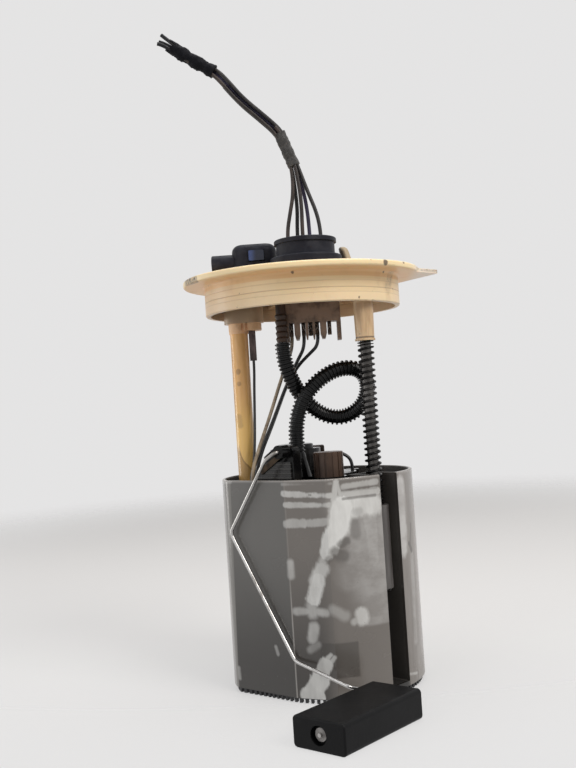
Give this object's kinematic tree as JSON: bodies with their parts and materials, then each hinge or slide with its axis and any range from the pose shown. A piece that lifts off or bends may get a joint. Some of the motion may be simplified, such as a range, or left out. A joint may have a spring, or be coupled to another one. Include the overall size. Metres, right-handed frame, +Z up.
{
  "type": "in-tank fuel pump module",
  "caption": "Fuel tank module: a sprung flange on a rod and a tube above a cup that holds pump, filter and a float level sender.",
  "frame": {"origin": "on the ground, under the middle of the reservoir cup's foot", "axes": "+Z up along the guides, -Y towards the side with the float arm and the rod's slot, +X to the rod's side"},
  "size_m": [0.153, 0.1999, 0.3777],
  "materials": {
    "cup_grey": "moulded, wet sheen",
    "foot_black": "moulded",
    "natural_plastic": "moulded",
    "steel_bright": "drawn wire",
    "steel_plated": "plated",
    "steel_dark": "oiled spring steel",
    "peach_plastic": "fuel-stained flange",
    "tube_amber": "translucent amber",
    "black_gloss": "wet with fuel",
    "brown_plastic": "stained",
    "grey_plastic": "moulded",
    "float_black": "closed-cell foam rubber",
    "hose_black": "corrugated",
    "tin_plated": "tin plated",
    "brass_strip": "springy strip",
    "ceramic_card": "ceramic",
    "paper_filter": "pleated",
    "mesh_strainer": "woven mesh",
    "rubber_black": "moulded",
    "connector_grey": "moulded",
    "button_blue": "moulded",
    "wire_beige": "insulation",
    "wire_black": "insulation",
    "wire_violet": "insulation",
    "wire_brown": "insulation",
    "wire_grey": "insulation",
    "tape_grey": "woven tape",
    "cloth_black": "woven cloth wrap"
  },
  "bodies": {
    "reservoir": {"reservoir_cup": "cup_grey", "rod_guide_sleeve": "cup_grey", "foot_ring": "foot_black", "valve_cage": "natural_plastic", "filter_canister": "natural_plastic", "filter_element": "paper_filter", "pump_isolator": "rubber_black", "fuel_pump": "steel_plated", "inlet_strainer": "mesh_strainer", "canister_lid": "black_gloss", "pump_connector": "brown_plastic", "regulator_housing": "brown_plastic", "pressure_regulator": "steel_plated", "sender_housing": "black_gloss", "resistor_card": "ceramic_card", "sender_plug": "black_gloss", "coil_spring": "steel_dark", "corrugated_hose": "hose_black", "sender_lead_a": "wire_beige", "sender_lead_b": "wire_black", "pump_lead": "wire_black", "ground_lead": "wire_black", "pump_loop_lead": "wire_black"},
    "flange": {"guide_rod": "steel_bright", "rod_clip": "steel_plated", "guide_tube": "tube_amber", "tube_clip": "peach_plastic", "ground_blade": "tin_plated", "flange_lid": "peach_plastic", "flange_skirt": "peach_plastic", "plug_socket": "peach_plastic", "supply_spigot": "peach_plastic", "vent_nozzle": "natural_plastic", "terminal_block": "grey_plastic", "crimp_terminals": "tin_plated", "outlet_nipple": "brown_plastic", "connector_plug": "connector_grey", "harness_wire_1": "wire_grey", "harness_wire_2": "wire_violet", "harness_wire_3": "wire_brown", "harness_wire_4": "wire_black", "harness_wire_5": "wire_beige", "harness_tape": "tape_grey", "harness_wrap": "cloth_black"},
    "arm": {"wiper_hub": "black_gloss", "contact_wiper": "brass_strip", "float_arm": "steel_bright", "float_retainer": "steel_plated"},
    "float": {"float_block": "float_black"},
    "valve": {"valve_disc": "rubber_black"},
    "connector": {"supply_connector": "black_gloss"},
    "button": {"release_button": "button_blue"},
    "latch": {"plug_latch": "connector_grey"}
  },
  "joints": [
    {"name": "flange_slide", "type": "slide", "parent": "reservoir", "child": "flange", "axis": [0, 0, -1], "range_m": [0, 0.045], "stiffness_N_per_m": 200, "springref_m": -0.06, "deforming": ["coil_spring", "corrugated_hose", "sender_lead_a", "sender_lead_b", "pump_lead", "ground_lead"]},
    {"name": "float_arm_swing", "type": "hinge", "parent": "reservoir", "child": "arm", "pos_m": [-0.0186, -0.04156, 0.1334], "axis": [-0.6293, -0.7771, 0], "range_deg": [0, 80]},
    {"name": "float_swivel", "type": "hinge", "parent": "arm", "child": "float", "pos_m": [0.01288, -0.09819, 0.0078], "axis": [-0.6293, -0.7771, 0], "continuous": true},
    {"name": "valve_lift", "type": "slide", "parent": "reservoir", "child": "valve", "axis": [0, 0, 1], "range_m": [0, 0.0015]},
    {"name": "connector_swivel", "type": "hinge", "parent": "flange", "child": "connector", "pos_m": [-0.0288, 0.016, 0.2446], "axis": [0, 0, 1], "range_deg": [-60, 60]},
    {"name": "release_button_press", "type": "slide", "parent": "connector", "child": "button", "axis": [0, 1, 0], "range_m": [0, 0.0016], "stiffness_N_per_m": 1000, "springref_m": -0.001},
    {"name": "plug_latch_press", "type": "slide", "parent": "flange", "child": "latch", "axis": [-1, 0, 0], "range_m": [0, 0.0012], "stiffness_N_per_m": 2000, "springref_m": -0.001}
  ]
}
